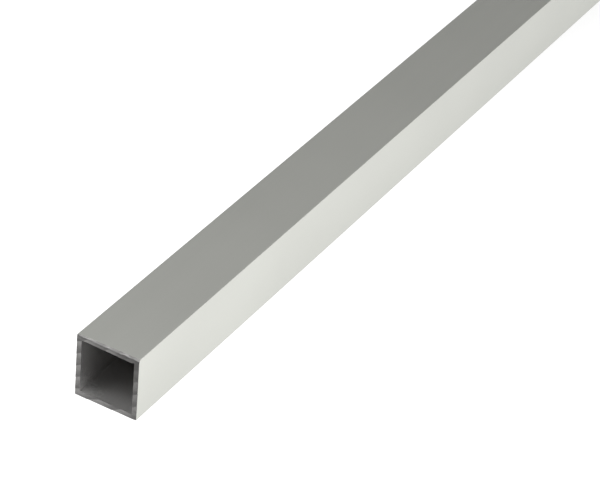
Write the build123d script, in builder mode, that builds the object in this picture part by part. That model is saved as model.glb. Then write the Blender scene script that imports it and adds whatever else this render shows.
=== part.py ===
from build123d import *

import os

# Square tube: one length of extruded aluminium hollow section, anodised and then sawn square.
# The tube lies along Y, with its underside on the XY plane. The origin is the middle of
# the underside, half way along the length. Units are millimetres.

# Driving dimensions
side = 20.0  # across the flats, the same in width and height
wall = 1.5
length = 1000.0
outer_corner_radius = 0.2  # the die leaves the four long edges crisp, just broken
inner_corner_radius = 0.3  # the four corners of the bore

# The bore follows the outside at one wall thickness, so the wall is even all round.
bore = side - 2 * wall

# Section plane: its x runs along +X and its y along +Z, from the middle of the underside.
section_plane = Plane.XZ

with BuildPart() as square_tube:
    with BuildSketch(section_plane) as section:
        with Locations((0, side / 2)):
            RectangleRounded(side, side, outer_corner_radius)
            RectangleRounded(bore, bore, inner_corner_radius, mode=Mode.SUBTRACT)
    # Extruding both ways leaves two plain ends, cut square to the length.
    extrude(amount=length / 2, both=True)

square_tube.part.label = "square_tube"

os.makedirs("parts", exist_ok=True)
export_step(square_tube.part, "parts/square_tube.step")
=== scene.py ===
from math import cos, pi, radians, sin

import bpy
from mathutils import Matrix, Vector


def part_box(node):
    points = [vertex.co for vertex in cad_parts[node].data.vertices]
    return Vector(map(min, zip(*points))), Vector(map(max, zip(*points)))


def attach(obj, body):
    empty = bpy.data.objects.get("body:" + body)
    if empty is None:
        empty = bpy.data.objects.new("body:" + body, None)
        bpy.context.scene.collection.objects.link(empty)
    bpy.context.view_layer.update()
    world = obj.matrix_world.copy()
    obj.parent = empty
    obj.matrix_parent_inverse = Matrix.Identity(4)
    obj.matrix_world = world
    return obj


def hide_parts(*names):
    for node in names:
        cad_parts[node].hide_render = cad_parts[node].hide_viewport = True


bl_info = {
    "name": "Square aluminium tube",
    "version": (1, 0, 0),
    "blender": (4, 5, 0),
    "location": "3D View > Sidebar > Tube",
    "description": "Builds a length of anodised square tube with sawn ends, and a stage to show it on",
    "category": "Add Mesh",
}

MM = 0.001  # everything is in metres
HAIR = 0.001 * MM  # smaller than anything on the tube
SENSOR_WIDTH = 36.0  # of the camera, in millimetres as Blender takes it

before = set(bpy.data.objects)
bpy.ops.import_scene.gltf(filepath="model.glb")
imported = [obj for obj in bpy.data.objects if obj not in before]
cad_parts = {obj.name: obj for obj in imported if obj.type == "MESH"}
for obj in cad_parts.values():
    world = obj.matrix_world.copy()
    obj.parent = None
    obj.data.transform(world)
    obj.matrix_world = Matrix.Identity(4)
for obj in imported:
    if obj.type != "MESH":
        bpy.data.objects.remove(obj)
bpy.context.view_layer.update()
NODE = "square_tube"
NODE_LOW, NODE_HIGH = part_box(NODE)

SIDE = NODE_HIGH.x - NODE_LOW.x
LENGTH = NODE_HIGH.y - NODE_LOW.y
AXIS_HEIGHT = (NODE_LOW.z + NODE_HIGH.z) / 2
NEAR_END = NODE_LOW.y

NOISE_SPAN = (0.3, 0.7)  # nearly all of a noise lies between these two


# --------------------------------------------------------------------------- settings


def length_setting(name, description, default):
    """A setting that is a length, shown in the scene's own unit."""
    return bpy.props.FloatProperty(
        name=name, description=description, default=default, min=0.0, precision=5, unit="LENGTH"
    )


def angle_setting(name, description, degrees):
    """A setting that is an angle, given in degrees."""
    return bpy.props.FloatProperty(
        name=name, description=description, default=radians(degrees), subtype="ANGLE"
    )


def colour_setting(name, description, hex_code):
    """A setting that is a colour, given as an sRGB hex value."""
    return bpy.props.FloatVectorProperty(
        name=name, description=description, default=linear(hex_code), min=0.0, max=1.0,
        size=4, subtype="COLOR",
    )


def linear(hex_code):
    """An sRGB hex colour as linear red, green, blue and a full alpha."""
    shares = [int(hex_code[i : i + 2], 16) / 255 for i in (1, 3, 5)]
    return (*(s / 12.92 if s <= 0.04045 else ((s + 0.055) / 1.055) ** 2.4 for s in shares), 1.0)


def scaled(colour, share):
    """A linear colour cut down to a share of its brightness."""
    return (*(share * part for part in colour[:3]), 1.0)


class TubeSection(bpy.types.PropertyGroup):
    """The extruded section."""

    wall: length_setting("Wall", "Thickness of the wall, the same all round", 1.5 * MM)
    outer_radius: length_setting("Outer corner", "Radius of the four long edges", 0.2 * MM)
    inner_radius: length_setting("Inner corner", "Radius of the bore's four corners", 0.3 * MM)


class SawCut(bpy.types.PropertyGroup):
    """What the saw leaves on the two ends."""

    pitch: length_setting("Mark pitch", "From one tooth mark to the next", 3.52 * MM)
    depth: length_setting("Mark depth", "How deep each tooth mark is scooped", 0.1 * MM)
    angle: angle_setting("Mark angle", "Slope of the marks across the end", 29.7)
    bend: length_setting("Mark bend", "How far a mark strays from its arc", 0.35 * MM)
    first_mark: length_setting("First mark", "Shifts the marks across the end", 2.56 * MM)
    blade_radius: length_setting("Blade radius", "Radius of the saw blade", 150 * MM)
    skew: angle_setting("Skew", "How far the cut is out of square", 0.8)
    roll_width: length_setting("Roll width", "Width of the rolled top edge", 0.48 * MM)
    roll_lean: angle_setting("Roll lean", "How far the rolled edge leans back", 38)
    fold_depth: length_setting("Fold depth", "Depth of the fold under the roll", 0.1 * MM)
    bore_tear: length_setting("Bore tear", "How far the bore's edge is torn inwards", 0.08 * MM)
    burr: length_setting("Burr", "How far the top wall's burr hangs into the bore", 0.4 * MM)
    lip: length_setting("Lip", "How deep into the bore its torn edge reaches", 0.6 * MM)
    seed: bpy.props.IntProperty(name="Seed", description="Which uneven cut it is", default=4)


class TubeColours(bpy.types.PropertyGroup):
    """Colours of the metal."""

    anodised: colour_setting("Anodised outside", "Silver anodised aluminium", "#CFD0CA")
    # Darker than the outside: partly the rougher bore, partly painted shade inside the tube.
    bore: colour_setting("Anodised bore", "The same finish on the rougher bore", "#C2C1C0")
    # Darker than bare aluminium: partly dull torn metal, partly painted shade on the sawn ends.
    sawn: colour_setting("Sawn metal", "Bare aluminium where the saw went through", "#81807F")


class StageLook(bpy.types.PropertyGroup):
    """Floor, light and camera."""

    floor: colour_setting("Floor", "Plain pale floor", "#FFFFFF")
    key_power: bpy.props.FloatProperty(
        name="Key light", description="Power of the softbox", default=11.0, unit="POWER"
    )
    lens: bpy.props.FloatProperty(
        name="Lens", description="Focal length on a 36 mm wide sensor", default=159.3,
        unit="CAMERA",
    )
    aim_aside: length_setting("Aim aside", "From the tube's axis to the aim", 10.94 * MM)
    aim_along: length_setting("Aim along", "From the near end to the aim", 84.43 * MM)
    azimuth: angle_setting("Azimuth", "How far round to the right the camera stands", 27.187)
    elevation: angle_setting("Elevation", "How far the camera looks down", 33.626)
    roll: angle_setting("Roll", "How far the camera is tilted to one side", 5.39)
    distance: length_setting("Distance", "From the camera to where it aims", 767.7 * MM)


# ------------------------------------------------------------------------------ nodes

MATH = "ShaderNodeMath"
VECTOR_MATH = "ShaderNodeVectorMath"
MAP_RANGE = "ShaderNodeMapRange"
MIX = "ShaderNodeMix"
COMBINE = "ShaderNodeCombineXYZ"
SEPARATE = "ShaderNodeSeparateXYZ"
NOISE = "ShaderNodeTexNoise"
POSITION = "GeometryNodeInputPosition"
STORE = "GeometryNodeStoreNamedAttribute"
STORED = "GeometryNodeInputNamedAttribute"

FLOAT = "NodeSocketFloat"
INT = "NodeSocketInt"
MATERIAL = "NodeSocketMaterial"


def add(tree, kind, feeds=(), out=0, **settings):
    """Adds a node and returns one of its outputs, or the node itself if out is None.
    feeds gives values or links for its inputs, in order or by name."""
    node = tree.nodes.new(kind)
    for name, value in settings.items():
        setattr(node, name, value)
    if not isinstance(feeds, dict):
        shown = [s for s in node.inputs if s.enabled]
        feeds = {node.inputs.values().index(shown[i]): value for i, value in enumerate(feeds)}
    for key, value in feeds.items():
        socket = node.inputs[key]
        if isinstance(value, bpy.types.NodeSocket):
            tree.links.new(value, socket)
        else:
            socket.default_value = value
    return node if out is None else [s for s in node.outputs if s.enabled][out]


def group_of(name, inputs):
    """An empty geometry tree, and the sockets that bring in its inputs, by name."""
    tree = bpy.data.node_groups.new(name, "GeometryNodeTree")
    for label, kind in inputs:
        tree.interface.new_socket(label, in_out="INPUT", socket_type=kind)
    tree.interface.new_socket("Geometry", in_out="OUTPUT", socket_type="NodeSocketGeometry")
    sockets = tree.nodes.new("NodeGroupInput").outputs
    return tree, {socket.name: socket for socket in sockets}


# ------------------------------------------------------------------- the tube's shape

OUTSIDE, CUT, BORE = 0, 1, 2  # its three finishes


def strip_tree():
    """One wall's share of a surface that runs between two rounded squares, each with its own
    half width, corner radius and place along Y. It spans one side, from mitre to mitre, above
    the tube's axis, so that four of them, a quarter turn apart, close into a sleeve or a ring.
    """
    tree, given = group_of("Strip between outlines", [
        ("Start Half", FLOAT), ("Start Radius", FLOAT), ("Start Y", FLOAT),
        ("End Half", FLOAT), ("End Radius", FLOAT), ("End Y", FLOAT),
        ("Flat Cuts", INT), ("Corner Cuts", INT), ("Rows", INT),
        ("Band Low", FLOAT), ("Band High", FLOAT), ("Finish", FLOAT),
    ])
    flat, corner, rows = given["Flat Cuts"], given["Corner Cuts"], given["Rows"]

    # A grid whose own X and Y count columns and rows from its middle.
    columns = add(tree, MATH, [corner, 2.0, flat], operation="MULTIPLY_ADD")
    mesh = add(tree, "GeometryNodeMeshGrid", [
        columns, rows,
        add(tree, MATH, [columns, 1.0], operation="ADD"),
        add(tree, MATH, [rows, 1.0], operation="ADD"),
    ])
    place = add(tree, SEPARATE, [add(tree, POSITION)], out=None).outputs
    column = add(tree, MATH, [columns, 0.5, place["X"]], operation="MULTIPLY_ADD")
    row = add(tree, MATH, [rows, 0.5, place["Y"]], operation="MULTIPLY_ADD")
    done = add(tree, MATH, [row, rows], operation="DIVIDE")

    # Where a column stands on the outline: which way it faces in the two corners, and how far
    # along the flat between them.
    flat_end = add(tree, MATH, [corner, flat], operation="ADD")
    turn = add(tree, MATH, [
        add(tree, MAP_RANGE, [column, 0.0, corner, -pi / 4, 0.0]),
        add(tree, MAP_RANGE, [column, flat_end, columns, 0.0, pi / 4]),
    ], operation="ADD")
    along = add(tree, MAP_RANGE, [column, corner, flat_end, -1.0, 1.0])

    # Half width and corner radius at this row, then the point on that rounded square.
    half, radius, y = (
        add(tree, MAP_RANGE, [done, 0.0, 1.0, given[f"Start {what}"], given[f"End {what}"]])
        for what in ("Half", "Radius", "Y")
    )
    centre = add(tree, MATH, [half, radius], operation="SUBTRACT")
    x = add(tree, MATH, [
        add(tree, MATH, [turn], operation="SINE"),
        radius,
        add(tree, MATH, [along, centre], operation="MULTIPLY"),
    ], operation="MULTIPLY_ADD")
    z = add(tree, MATH, [
        add(tree, MATH, [turn], operation="COSINE"), radius, centre,
    ], operation="MULTIPLY_ADD")

    # The map's U goes round the tube, a quarter of it to each wall, and V across its band.
    u = add(tree, MATH, [
        column, add(tree, MATH, [columns, 4.0], operation="MULTIPLY"),
    ], operation="DIVIDE")
    v = add(tree, MAP_RANGE, [done, 0.0, 1.0, given["Band Low"], given["Band High"]])
    mapped = add(tree, STORE, {
        "Geometry": mesh, "Name": "OFBake", "Value": add(tree, COMBINE, [u, v]),
    }, data_type="FLOAT2", domain="CORNER")
    shaped = add(tree, "GeometryNodeSetPosition", {
        "Geometry": mapped, "Position": add(tree, COMBINE, [x, y, z]),
    })
    finished = add(tree, STORE, {
        "Geometry": shaped, "Name": "finish", "Value": given["Finish"],
    }, data_type="FLOAT", domain="FACE")
    add(tree, "NodeGroupOutput", [finished], out=None)
    return tree


def tube_tree():
    """The whole tube: outer wall, bore and the two sawn ends."""
    tree, given = group_of("Sawn square tube", [
        ("Side", FLOAT), ("Wall", FLOAT), ("Length", FLOAT), ("Axis Height", FLOAT),
        ("Outer Radius", FLOAT), ("Inner Radius", FLOAT),
        ("Flat Cuts", INT), ("Corner Cuts", INT), ("Ring Rows", INT), ("Length Rows", INT),
        ("Mark Pitch", FLOAT), ("Mark Depth", FLOAT), ("Mark Angle", FLOAT),
        ("Mark Bend", FLOAT), ("First Mark", FLOAT), ("Blade Radius", FLOAT),
        ("Skew", FLOAT), ("Roll Width", FLOAT), ("Roll Lean", FLOAT), ("Fold Depth", FLOAT),
        ("Bore Tear", FLOAT), ("Burr", FLOAT), ("Lip", FLOAT), ("Seed", INT),
        ("Outside", MATERIAL), ("Cut", MATERIAL), ("Bore", MATERIAL),
    ])
    given["Half"] = add(tree, MATH, [given["Side"], 0.5], operation="MULTIPLY")
    given["Bore Half"] = add(tree, MATH, [given["Half"], given["Wall"]], operation="SUBTRACT")
    given["Half Length"] = add(tree, MATH, [given["Length"], 0.5], operation="MULTIPLY")
    whole = four_walls(tree, given, one_wall(tree, given))
    whole = saw_ends(tree, given, whole)
    whole = set_finishes(tree, given, whole)
    add(tree, "NodeGroupOutput", [whole], out=None)
    return tree


def one_wall(tree, given):
    """The top wall: a ring of outlines, each joined to the next by a strip. Two of them in each
    mouth of the bore keep the torn edge to a short lip."""
    outer, inner = ("Half", "Outer Radius"), ("Bore Half", "Inner Radius")
    far = given["Half Length"]
    far_lip = add(tree, MATH, [far, given["Lip"]], operation="SUBTRACT")
    far_bore = add(tree, MATH, [far_lip, given["Lip"]], operation="SUBTRACT")
    near, near_lip, near_bore = (
        add(tree, MATH, [y, -1.0], operation="MULTIPLY") for y in (far, far_lip, far_bore)
    )
    # Each outline, and its strip: how many rows it has, and its own band of the map, wide for
    # the two long surfaces, and enough for the ends to keep their marks.
    outlines = [
        (outer, near, given["Length Rows"], 0.00, 0.44, OUTSIDE),
        (outer, far, given["Ring Rows"], 0.45, 0.56, CUT),
        (inner, far, 1, 0.57, 0.575, BORE),
        (inner, far_lip, 1, 0.575, 0.58, BORE),
        (inner, far_bore, given["Length Rows"], 0.58, 0.86, BORE),
        (inner, near_bore, 1, 0.86, 0.865, BORE),
        (inner, near_lip, 1, 0.865, 0.87, BORE),
        (inner, near, given["Ring Rows"], 0.88, 0.99, CUT),
    ]
    strip = strip_tree()
    join = add(tree, "GeometryNodeJoinGeometry", out=None)
    for start, end in zip(outlines, outlines[1:] + outlines[:1]):
        (half, radius), y, *rest = start
        (end_half, end_radius), end_y, *_ = end
        made = add(tree, "GeometryNodeGroup", [
            given[half], given[radius], y, given[end_half], given[end_radius], end_y,
            given["Flat Cuts"], given["Corner Cuts"], *rest,
        ], node_tree=strip)
        tree.links.new(made, join.inputs[0])
    return join.outputs[0]


def four_walls(tree, given, wall):
    """The four walls, a quarter turn apart round the tube's axis, with their seams closed. They
    are realized here and not last, because the saw leaves other marks on each of them."""
    number = add(tree, "GeometryNodeInputIndex")
    points = add(tree, "GeometryNodePoints", {
        "Count": 4, "Position": add(tree, COMBINE, {"Z": given["Axis Height"]}),
    })
    numbered = add(tree, STORE, {
        "Geometry": points, "Name": "wall_number", "Value": number,
    }, data_type="FLOAT", domain="POINT")
    turn = add(tree, MATH, [number, pi / 2], operation="MULTIPLY")
    walls = add(tree, "GeometryNodeInstanceOnPoints", {
        "Points": numbered, "Instance": wall, "Rotation": add(tree, COMBINE, {"Y": turn}),
    })
    whole = add(tree, "GeometryNodeRealizeInstances", [walls])

    # Each wall moves its share of the map to its own quarter.
    quarter = add(tree, MATH, [
        add(tree, STORED, ["wall_number"], data_type="FLOAT"), 0.25,
    ], operation="MULTIPLY")
    own_map = add(tree, STORED, ["OFBake"], data_type="FLOAT_VECTOR")
    whole = add(tree, STORE, {
        "Geometry": whole, "Name": "OFBake",
        "Value": add(tree, VECTOR_MATH, [
            own_map, add(tree, COMBINE, {"X": quarter}),
        ], operation="ADD"),
    }, data_type="FLOAT2", domain="CORNER")
    whole = add(tree, "GeometryNodeRemoveAttribute", {"Geometry": whole, "Name": "wall_number"})
    return add(tree, "GeometryNodeMergeByDistance", {"Geometry": whole, "Distance": HAIR})


def saw_ends(tree, given, whole):
    """Sinks the points of the two ends behind a flat cut, by what the saw did to them, and
    tears the edge of the bore. The blade came out at the top right, and only rubbed there."""
    place = add(tree, SEPARATE, [add(tree, POSITION)], out=None).outputs
    end = add(tree, MATH, [place["Y"]], operation="SIGN")
    # Right and up of the axis, as one faces the end.
    left = add(tree, MATH, [place["X"], end], operation="MULTIPLY")
    at = {
        "end": end,
        "right": add(tree, MATH, [left, -1.0], operation="MULTIPLY"),
        "up": add(tree, MATH, [place["Z"], given["Axis Height"]], operation="SUBTRACT"),
    }
    on_end = add(tree, MATH, [
        add(tree, MATH, [place["Y"]], operation="ABSOLUTE"),
        add(tree, MATH, [given["Half Length"], HAIR], operation="SUBTRACT"),
    ], operation="GREATER_THAN")

    to_exit = add(tree, VECTOR_MATH, [
        add(tree, COMBINE, [at["right"], 0.0, at["up"]]),
        add(tree, COMBINE, [given["Half"], 0.0, given["Half"]]),
    ], operation="DISTANCE")
    roll, fold = rolled_edge(tree, given, at)
    # Where it is rolled this far back, the metal is burnished smooth: it holds one middling
    # depth in place of the marks.
    smooth_from, smooth_depth = 0.1 * MM, 0.55
    burnish = add(tree, MAP_RANGE, [roll, 0.0, smooth_from, 0.0, 1.0])
    mark = add(tree, MIX, [burnish, tooth_mark(tree, given, at, to_exit), smooth_depth])
    for name, value in (("tooth_mark", mark), ("burnish", burnish), ("to_exit", to_exit)):
        whole = add(tree, STORE, {
            "Geometry": whole, "Name": name, "Value": value, "Selection": on_end,
        }, data_type="FLOAT", domain="POINT")

    from_right = add(tree, MATH, [given["Half"], at["right"]], operation="SUBTRACT")
    slope = add(tree, MATH, [given["Skew"]], operation="TANGENT")
    edge = add(tree, MATH, [roll, fold], operation="ADD")
    leaning = add(tree, MATH, [from_right, slope, edge], operation="MULTIPLY_ADD")
    depth = add(tree, MATH, [mark, given["Mark Depth"], leaning], operation="MULTIPLY_ADD")
    inwards = add(tree, MATH, [end, -1.0], operation="MULTIPLY")
    sunk = add(tree, COMBINE, {"Y": add(tree, MATH, [depth, inwards], operation="MULTIPLY")})
    return add(tree, "GeometryNodeSetPosition", {
        "Geometry": whole, "Selection": on_end,
        "Offset": add(tree, VECTOR_MATH, [sunk, torn_bore(tree, given, at)], operation="ADD"),
    })


def tooth_mark(tree, given, at, to_exit):
    """How deep a point of a sawn end lies in its tooth mark: from 0 up to 1, then a quick step
    back. The marks are arcs about the blade's axis, which is up and to the left, and faint
    within some mm of the blade's way out."""
    step_start = 0.92  # the last share of a mark is its step
    stray_size = 4 * MM  # of the waves in which the marks stray from their arcs
    faint_to, full_from, faint_share = 6 * MM, 8.5 * MM, 0.3

    def blade_axis(operation):
        return add(tree, MATH, [
            add(tree, MATH, [given["Mark Angle"]], operation=operation), given["Blade Radius"],
        ], operation="MULTIPLY")

    to_axis = add(tree, COMBINE, [
        add(tree, MATH, [at["right"], blade_axis("SINE")], operation="ADD"),
        0.0,
        add(tree, MATH, [at["up"], blade_axis("COSINE")], operation="SUBTRACT"),
    ])
    from_axis = add(tree, VECTOR_MATH, [to_axis], operation="LENGTH")
    stray = add(tree, MAP_RANGE, [
        end_noise(tree, given, at["end"], 1 / stray_size), 0.0, 1.0, -1.0, 1.0,
    ])
    shift = add(tree, MATH, [
        stray, given["Mark Bend"], given["First Mark"],
    ], operation="MULTIPLY_ADD")
    climbed = add(tree, MATH, [
        add(tree, MATH, [given["Blade Radius"], from_axis], operation="SUBTRACT"), shift,
    ], operation="ADD")
    phase = add(tree, MATH, [
        add(tree, MATH, [climbed, given["Mark Pitch"]], operation="DIVIDE"),
    ], operation="FRACT")
    scoop = add(tree, MATH, [
        phase, add(tree, MAP_RANGE, [phase, step_start, 1.0, 1.0, 0.0]),
    ], operation="MINIMUM")

    fade = add(tree, MAP_RANGE, [to_exit, faint_to, full_from, faint_share, 1.0])
    return add(tree, MATH, [scoop, fade], operation="MULTIPLY")


def rolled_edge(tree, given, at):
    """How far the blade rolled the top outer edge back from the cut, and the fold that this
    left under it. The roll is wider towards the side where the blade came out, at the right."""
    left_width, right_width = 0.8, 1.25
    narrowest, widest = 0.6, 1.4
    waves = 0.35 / MM  # in which the width varies, some 3 mm long
    fold_below, fold_half_width = 0.15 * MM, 0.2 * MM
    below_top = add(tree, MATH, [given["Half"], at["up"]], operation="SUBTRACT")
    aside = add(tree, MATH, [at["right"], given["Half"]], operation="DIVIDE")
    widening = add(tree, MAP_RANGE, [aside, -1.0, 1.0, left_width, right_width])
    uneven = add(tree, MAP_RANGE, [
        end_noise(tree, given, at["end"], waves, layer=58.0), *NOISE_SPAN, narrowest, widest,
    ])
    width = add(tree, MATH, [
        given["Roll Width"], add(tree, MATH, [widening, uneven], operation="MULTIPLY"),
    ], operation="MULTIPLY")
    roll = add(tree, MATH, [
        add(tree, MATH, [
            add(tree, MATH, [width, below_top], operation="SUBTRACT"),
            add(tree, MATH, [given["Roll Lean"]], operation="TANGENT"),
        ], operation="MULTIPLY"),
        0.0,
    ], operation="MAXIMUM")

    fold_place = add(tree, MATH, [width, fold_below], operation="ADD")
    from_fold = add(tree, MATH, [below_top, fold_place], operation="SUBTRACT")
    fold = add(tree, MAP_RANGE, [
        add(tree, MATH, [from_fold], operation="ABSOLUTE"),
        0.0, fold_half_width, given["Fold Depth"], 0.0,
    ])
    return roll, fold


def torn_bore(tree, given, at):
    """How far the torn edge of the bore moves towards the axis: an uneven amount all round, and
    more where the top wall's burr hangs, lowest at the side where the blade came out."""
    tear_width, untorn, fully_torn = 0.15 * MM, 0.35, 0.65
    nicks = 0.8 / MM  # in which the tear varies, some 1.2 mm long
    burr_start, corner_blend = -5 * MM, 0.5 * MM
    from_axis = add(tree, COMBINE, {
        "X": add(tree, MATH, [
            add(tree, MATH, [at["right"], at["end"]], operation="MULTIPLY"), -1.0,
        ], operation="MULTIPLY"),
        "Z": at["up"],
    })
    sides = add(tree, SEPARATE, [
        add(tree, VECTOR_MATH, [from_axis], operation="ABSOLUTE"),
    ], out=None).outputs
    out = add(tree, MATH, [
        add(tree, MATH, [sides["X"], sides["Z"]], operation="MAXIMUM"), given["Bore Half"],
    ], operation="SUBTRACT")
    tear = add(tree, MAP_RANGE, [
        end_noise(tree, given, 0.0, nicks), untorn, fully_torn, 0.0, given["Bore Tear"],
    ])
    burr = add(tree, MAP_RANGE, [
        at["right"], burr_start, given["Bore Half"], 0.0, given["Burr"],
    ])
    on_top = add(tree, MAP_RANGE, [
        add(tree, MATH, [at["up"], sides["X"]], operation="SUBTRACT"),
        0.0, corner_blend, 0.0, 1.0,
    ])
    tear = add(tree, MATH, [burr, on_top, tear], operation="MULTIPLY_ADD")
    share = add(tree, MATH, [
        add(tree, MAP_RANGE, [out, 0.0, tear_width, tear, 0.0]), given["Bore Half"],
    ], operation="DIVIDE")
    return add(tree, VECTOR_MATH, {
        "Vector": from_axis, "Scale": add(tree, MATH, [share, -1.0], operation="MULTIPLY"),
    }, operation="SCALE")


def end_noise(tree, given, end, scale, layer=0.0):
    """Smooth noise over an end. The seed changes it, and each layer is another noise."""
    seed = add(tree, MATH, [end, given["Seed"], layer], operation="MULTIPLY_ADD")
    return add(tree, NOISE, {
        "Vector": add(tree, POSITION), "W": seed, "Scale": scale, "Detail": 2.0,
    }, noise_dimensions="4D")


def set_finishes(tree, given, whole):
    """Smooth over the corners' arcs, sharp where one finish meets another and at steep steps,
    and a material on each finish."""
    steep_from, slack = radians(30), 0.25
    finish = add(tree, STORED, ["finish"], data_type="FLOAT")
    # An edge's finish is the mean of its two faces', so it isn't whole where they differ.
    between = add(tree, MATH, [
        add(tree, MATH, [finish], operation="FRACT"), slack,
    ], operation="GREATER_THAN")
    steep = add(tree, MATH, [
        add(tree, "GeometryNodeInputMeshEdgeAngle"), steep_from,
    ], operation="GREATER_THAN")
    sharp = add(tree, MATH, [between, steep], operation="MAXIMUM")
    whole = add(tree, "GeometryNodeSetShadeSmooth", [whole, True, True], domain="FACE")
    whole = add(tree, "GeometryNodeSetShadeSmooth", [whole, sharp, False], domain="EDGE")
    for number, name in ((OUTSIDE, "Outside"), (CUT, "Cut"), (BORE, "Bore")):
        here = add(tree, MATH, [finish, number, slack], operation="COMPARE")
        whole = add(tree, "GeometryNodeSetMaterial", [whole, here, given[name]])
    return whole


# -------------------------------------------------------------------------- finishes


def new_material(name):
    """An empty node material and its tree."""
    material = bpy.data.materials.new(name)
    material.use_nodes = True
    material.node_tree.nodes.clear()
    return material, material.node_tree


def anodised_aluminium(name, colour, roughness, mottle, line_depth, dust_and_light_corner=None):
    """Extruded aluminium, etched and anodised. The etch leaves an even satin sheen, and
    under it run the die's faint lines, all along the length. About the given corner of each
    mouth, where there is one, the bore is painted brighter: partly saw dust, partly painted light."""
    material, tree = new_material(name)
    place = add(tree, "ShaderNodeTexCoord", out=None).outputs["Object"]
    # Die lines: from 0.3 to 3 mm apart across a wall, and unbroken for some 300 mm along it.
    stretched = add(tree, "ShaderNodeMapping", {"Vector": place, "Scale": (1.0, 0.003, 1.0)})
    lines = add(tree, NOISE, {
        "Vector": stretched, "Scale": 0.9 / MM, "Detail": 3.0, "Roughness": 0.6,
    })
    # The etch's grain, drawn ten times coarser than its real 0.02 mm, so that it shows.
    grain = add(tree, NOISE, {"Vector": place, "Scale": 6.0 / MM, "Detail": 2.0})
    # Slow clouding of the oxide, from 20 to 60 mm.
    cloud = add(tree, NOISE, {"Vector": place, "Scale": 0.03 / MM, "Detail": 1.0})
    # The lines stand half as high as the grain.
    relief = add(tree, MATH, [lines, 0.5, grain], operation="MULTIPLY_ADD")
    relief_low, relief_high, clouding = 0.4, 1.1, 0.015
    tone = add(tree, MATH, [
        add(tree, MAP_RANGE, [relief, relief_low, relief_high, 1.0 - mottle, 1.0 + mottle]),
        add(tree, MAP_RANGE, [cloud, *NOISE_SPAN, 1.0 - clouding, 1.0 + clouding]),
    ], operation="MULTIPLY")
    # Painted light, partly dust, about one corner of each mouth.
    if dust_and_light_corner:
        tone = add(tree, MATH, [tone, dust_and_painted_light(tree, place, dust_and_light_corner)], operation="MULTIPLY")
    base = add(tree, MIX, [1.0, colour, tone], data_type="RGBA", blend_type="MULTIPLY")
    # Any more than this shows as streaks, which a fresh finish hasn't.
    spread = 0.012
    rough = add(tree, MAP_RANGE, [lines, *NOISE_SPAN, roughness - spread, roughness + spread])
    bump = add(tree, "ShaderNodeBump", {
        "Strength": 0.3, "Distance": line_depth, "Height": relief,
    })
    metal = add(tree, "ShaderNodeBsdfPrincipled", {
        "Base Color": base, "Metallic": 1.0, "Roughness": rough, "Normal": bump,
    })
    add(tree, "ShaderNodeOutputMaterial", {"Surface": metal}, out=None)
    return material


def dust_and_painted_light(tree, place, corner):
    """How much brighter the bore is painted in each mouth, most in the lower left corner as one
    faces the end: partly painted light there, partly the saw's fine dust, thickest where the blade
    came in."""
    brightest, least_reach, most_reach = 1.55, 4 * MM, 9 * MM
    at = add(tree, SEPARATE, [place], out=None).outputs
    end = add(tree, MATH, [at["Y"]], operation="SIGN")
    from_end = add(tree, MATH, [
        add(tree, MATH, [at["Y"]], operation="ABSOLUTE"), LENGTH / 2,
    ], operation="SUBTRACT")
    from_corner = add(tree, VECTOR_MATH, [
        add(tree, COMBINE, [
            add(tree, MATH, [at["X"], end], operation="MULTIPLY"), from_end, at["Z"],
        ]),
        corner,
    ], operation="DISTANCE")
    # Clumps, some 0.8 mm across, in the reach of the dust and the painted light.
    clumps = add(tree, NOISE, {"Vector": place, "Scale": 1.2 / MM, "Detail": 2.0})
    reach = add(tree, MAP_RANGE, [clumps, *NOISE_SPAN, least_reach, most_reach])
    return add(tree, MAP_RANGE, [from_corner, 0.0, reach, brightest, 1.0])


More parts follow.
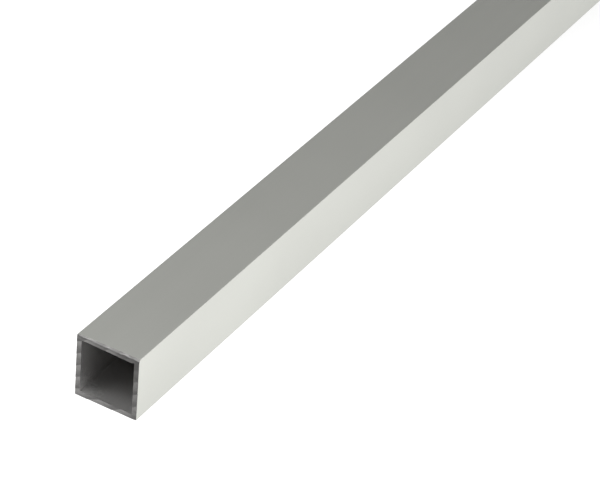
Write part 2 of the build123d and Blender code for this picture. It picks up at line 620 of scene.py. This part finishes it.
def sawn_aluminium_and_painted_light(name, colour):
    """Bare aluminium torn by a saw, dull, with painted light and shade in its colour: lighter
    towards the deep end of each scoop, partly where a tooth smoothed it and partly painted
    shading of the scoops; painted shade towards the top right, where the blade came out, and on
    the upright walls; and the rolled edge lighter, partly burnished and partly a painted highlight."""
    material, tree = new_material(name)
    place = add(tree, "ShaderNodeTexCoord", out=None).outputs["Object"]
    mark, burnish, to_exit = (
        add(tree, "ShaderNodeAttribute", attribute_name=name, out=None).outputs["Fac"]
        for name in ("tooth_mark", "burnish", "to_exit")
    )
    # Torn grain, some 0.3 mm across, and smears of up to 3 mm along the cut.
    grain = add(tree, NOISE, {"Vector": place, "Scale": 3.0 / MM, "Detail": 3.0})
    stretched = add(tree, "ShaderNodeMapping", {"Vector": place, "Scale": (0.3, 1.0, 1.0)})
    smears = add(tree, NOISE, {"Vector": stretched, "Scale": 1.2 / MM, "Detail": 2.0})
    # Each tone is a share of the colour.
    # Painted light and shade in the scoops: lighter towards the deep end of each mark, partly metal
    # that the tooth smoothed, partly painted shading of the scoops.
    shallow_tone, deep_tone, deep_from = 0.68, 1.1, 0.9
    # Painted shade: darker towards the top right of each end, where the blade came out, lighter
    # towards the lower left.
    shaded_exit_tone, lit_entry_tone, across_end = 0.7, 1.12, 28 * MM
    # Painted shade on the upright walls, and the rolled edge lighter, partly burnished metal, partly a
    # painted highlight.
    upright_shade_tone, corner_blend, rolled_highlight_tone = 0.9, 1 * MM, 1.75
    tone = add(tree, MATH, [
        add(tree, MAP_RANGE, [mark, 0.0, deep_from, shallow_tone, deep_tone]),
        add(tree, MAP_RANGE, [to_exit, 0.0, across_end, shaded_exit_tone, lit_entry_tone]),
    ], operation="MULTIPLY")
    apart = add(tree, SEPARATE, [
        add(tree, VECTOR_MATH, [
            add(tree, VECTOR_MATH, [place, (0.0, 0.0, AXIS_HEIGHT)], operation="SUBTRACT"),
        ], operation="ABSOLUTE"),
    ], out=None).outputs
    # Painted shade on the two upright walls of each end.
    upright = add(tree, MATH, [apart["X"], apart["Z"]], operation="SUBTRACT")
    upright_shade = add(tree, MAP_RANGE, [upright, -corner_blend, corner_blend, 1.0, upright_shade_tone])
    tone = add(tree, MATH, [tone, upright_shade], operation="MULTIPLY")
    # The rolled edge: partly burnished metal, partly a painted highlight.
    tone = add(tree, MIX, [burnish, tone, rolled_highlight_tone])
    for noise, strength in ((grain, 0.07), (smears, 0.14)):
        mottle = add(tree, MAP_RANGE, [noise, *NOISE_SPAN, 1.0 - strength, 1.0 + strength])
        tone = add(tree, MATH, [tone, mottle], operation="MULTIPLY")
    base = add(tree, MIX, [1.0, colour, tone], data_type="RGBA", blend_type="MULTIPLY")
    torn_roughness, smoothed_roughness = 0.6, 0.45
    rough = add(tree, MAP_RANGE, [mark, 0.0, 1.0, torn_roughness, smoothed_roughness])
    bump = add(tree, "ShaderNodeBump", {
        "Strength": 0.5, "Distance": 0.02 * MM, "Height": grain,
    })
    metal = add(tree, "ShaderNodeBsdfPrincipled", {
        "Base Color": base, "Metallic": 1.0, "Roughness": rough, "Normal": bump,
    })
    add(tree, "ShaderNodeOutputMaterial", {"Surface": metal}, out=None)
    return material


class TUBE_OT_square_tube(bpy.types.Operator):
    """Makes the tube in place of the plain one"""

    bl_idname = "tube.square_tube"
    bl_label = "Square tube"

    def execute(self, context):
        section = context.scene.tube_section
        cut = context.scene.saw_cut
        colours = context.scene.tube_colours
        inputs = {
            "Side": SIDE, "Wall": section.wall, "Length": LENGTH, "Axis Height": AXIS_HEIGHT,
            "Outer Radius": section.outer_radius, "Inner Radius": section.inner_radius,
            # On the ends this makes faces 0.1 mm wide, a third of the finest mark.
            "Flat Cuts": 180, "Corner Cuts": 6, "Ring Rows": 14, "Length Rows": 12,
            "Mark Pitch": cut.pitch, "Mark Depth": cut.depth, "Mark Angle": cut.angle,
            "Mark Bend": cut.bend, "First Mark": cut.first_mark,
            "Blade Radius": cut.blade_radius, "Skew": cut.skew,
            "Roll Width": cut.roll_width, "Roll Lean": cut.roll_lean,
            "Fold Depth": cut.fold_depth, "Bore Tear": cut.bore_tear, "Burr": cut.burr,
            "Lip": cut.lip, "Seed": cut.seed,
            "Outside": anodised_aluminium(
                "anodised_aluminium", colours.anodised, roughness=0.4, mottle=0.03,
                line_depth=0.01 * MM,
            ),
            "Bore": anodised_aluminium(
                "anodised_bore_and_painted_shade", colours.bore, roughness=0.58, mottle=0.08,
                line_depth=0.03 * MM,
                # The lower left corner of each mouth, painted brighter: partly saw dust, partly
                # painted light.
                dust_and_light_corner=(SIDE / 2 - section.wall, 0.0, section.wall),
            ),
            "Cut": sawn_aluminium_and_painted_light("sawn_aluminium_and_painted_light", colours.sawn),
        }
        tree = tube_tree()
        tube = bpy.data.objects.new("anodised_square_tube", bpy.data.meshes.new("tube"))
        context.scene.collection.objects.link(tube)
        modifier = tube.modifiers.new("Tube", "NODES")
        modifier.node_group = tree
        for socket in tree.interface.items_tree:
            if socket.in_out == "INPUT":
                modifier[socket.identifier] = inputs[socket.name]
        made = bpy.data.meshes.new_from_object(
            tube.evaluated_get(context.evaluated_depsgraph_get())
        )
        if not made.polygons:
            raise RuntimeError("the tube's node tree gave no faces")
        tube.modifiers.clear()
        tube.data = made
        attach(tube, "root")
        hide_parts(NODE)
        return {"FINISHED"}


# ------------------------------------------------------------------------------ stage


def floor_material(colour):
    """Plain white floor, with the tube's soft shadow. It glows white to the camera, metal and
    glass, with painted light that glows brighter about the tube's near end, and lights nothing else by
    it."""
    lit_share = 0.3  # of the floor's colour that the lamp lights, so its shadow is faint
    pool_from, pool_to, glow_beyond = NEAR_END + 50 * MM, NEAR_END + 320 * MM, 0.76
    material, tree = new_material("white_floor")
    lit = add(tree, "ShaderNodeBsdfDiffuse", {"Color": scaled(colour, lit_share)})
    path = add(tree, "ShaderNodeLightPath", out=None).outputs
    shown = add(tree, MATH, [
        path["Is Camera Ray"],
        add(tree, MATH, [
            path["Is Glossy Ray"], path["Is Transmission Ray"],
        ], operation="MAXIMUM"),
    ], operation="MAXIMUM")
    place = add(tree, "ShaderNodeNewGeometry", out=None).outputs["Position"]
    along = add(tree, SEPARATE, [place], out=1)
    # Painted light: the glow is brightest about the tube's near end and falls off along it.
    painted_pool = add(tree, MAP_RANGE, [along, pool_from, pool_to, 1.0, glow_beyond])
    glow = add(tree, "ShaderNodeEmission", {
        "Color": colour, "Strength": add(tree, MATH, [shown, painted_pool], operation="MULTIPLY"),
    })
    both = add(tree, "ShaderNodeAddShader", [lit, glow])
    add(tree, "ShaderNodeOutputMaterial", {"Surface": both}, out=None)
    return material


def make_floor(context, colour):
    """A floor wide enough to reach the horizon, at 20 m each way."""
    half = 20.0
    mesh = bpy.data.meshes.new("floor")
    corners = [(-half, -half, 0), (half, -half, 0), (half, half, 0), (-half, half, 0)]
    mesh.from_pydata(corners, [], [(0, 1, 2, 3)])
    mesh.materials.append(floor_material(colour))
    floor = bpy.data.objects.new("floor", mesh)
    context.scene.collection.objects.link(floor)


def make_world(context):
    """A white horizon all round and a white wide window at the right, in a grey room that is
    dark above the horizon and lighter towards its ceiling."""
    horizon_from, horizon_to = sin(radians(6)), sin(radians(12))
    ceiling_from, ceiling_light = sin(radians(26)), 1.58
    window_from, window_full = 0.7, 0.95
    world = bpy.data.worlds.new("studio")
    context.scene.world = world
    world.use_nodes = True
    tree = world.node_tree
    tree.nodes.clear()
    right, _, up = add(tree, SEPARATE, [
        add(tree, "ShaderNodeTexCoord", out=None).outputs["Generated"],
    ], out=None).outputs
    horizon = add(tree, MAP_RANGE, [up, horizon_from, horizon_to, 1.0, 0.0])
    ceiling = add(tree, MAP_RANGE, [up, ceiling_from, 1.0, 0.0, ceiling_light])
    window = add(tree, MAP_RANGE, [right, window_from, window_full, 0.0, 1.0])
    room = add(tree, MATH, [horizon, ceiling], operation="ADD")
    light = add(tree, "ShaderNodeBackground", {
        "Color": linear("#FFFFFF"),
        "Strength": add(tree, MATH, [room, window], operation="MAXIMUM"),
    })
    add(tree, "ShaderNodeOutputWorld", {"Surface": light}, out=None)


def make_key_light(context, power):
    """A square softbox, up and in front, on the left."""
    place, target, width = Vector((-0.8, -1.2, 1.5)), Vector((0.0, -0.4, 0.0)), 0.8
    data = bpy.data.lights.new("key", "AREA")
    data.size = width
    data.energy = power
    lamp = bpy.data.objects.new("key", data)
    lamp.location = place
    lamp.rotation_euler = (target - place).to_track_quat("-Z", "Y").to_euler()
    context.scene.collection.objects.link(lamp)


def make_camera(context, look):
    """Looks down at the near end from the front right, rolled a little."""
    aim = Vector((look.aim_aside, NEAR_END + look.aim_along, AXIS_HEIGHT))
    level = Vector((sin(look.azimuth), -cos(look.azimuth), 0.0))
    back = cos(look.elevation) * level + sin(look.elevation) * Vector((0.0, 0.0, 1.0))
    right = Vector((cos(look.azimuth), sin(look.azimuth), 0.0))
    right.rotate(Matrix.Rotation(look.roll, 3, back))
    turn = Matrix((right, back.cross(right), back)).transposed().to_4x4()
    data = bpy.data.cameras.new("camera")
    data.sensor_width = SENSOR_WIDTH
    data.lens = look.lens
    data.clip_start, data.clip_end = 0.05, 100.0
    camera = bpy.data.objects.new("camera", data)
    camera.matrix_world = Matrix.Translation(aim + look.distance * back) @ turn
    context.scene.collection.objects.link(camera)
    context.scene.camera = camera


class TUBE_OT_stage(bpy.types.Operator):
    """Sets the floor, the light and the camera"""

    bl_idname = "tube.stage"
    bl_label = "Stage"

    def execute(self, context):
        look = context.scene.stage_look
        context.scene.view_settings.view_transform = "Standard"
        make_floor(context, look.floor)
        make_world(context)
        make_key_light(context, look.key_power)
        make_camera(context, look)
        return {"FINISHED"}


# ----------------------------------------------------------------------------- add-on


class TUBE_PT_panel(bpy.types.Panel):
    """Lists the tube and its stage"""

    bl_label = "Square tube"
    bl_idname = "TUBE_PT_panel"
    bl_space_type = "VIEW_3D"
    bl_region_type = "UI"
    bl_category = "Tube"

    def draw(self, context):
        for name, group in SETTINGS.items():
            box = self.layout.box()
            for key in group.__annotations__:
                box.prop(getattr(context.scene, name), key)
        for operator in (TUBE_OT_square_tube, TUBE_OT_stage):
            self.layout.operator(operator.bl_idname)


SETTINGS = {
    "tube_section": TubeSection,
    "saw_cut": SawCut,
    "tube_colours": TubeColours,
    "stage_look": StageLook,
}
CLASSES = (*SETTINGS.values(), TUBE_OT_square_tube, TUBE_OT_stage, TUBE_PT_panel)


def register():
    """Adds the classes, and the settings to the scene"""
    for cls in CLASSES:
        bpy.utils.register_class(cls)
    for name, group in SETTINGS.items():
        setattr(bpy.types.Scene, name, bpy.props.PointerProperty(type=group))


def unregister():
    """Takes them away again"""
    for name in SETTINGS:
        delattr(bpy.types.Scene, name)
    for cls in reversed(CLASSES):
        bpy.utils.unregister_class(cls)


def main():
    """Makes the tube and its stage"""
    register()
    bpy.ops.tube.square_tube()
    bpy.ops.tube.stage()


if __name__ == "__main__":
    main()
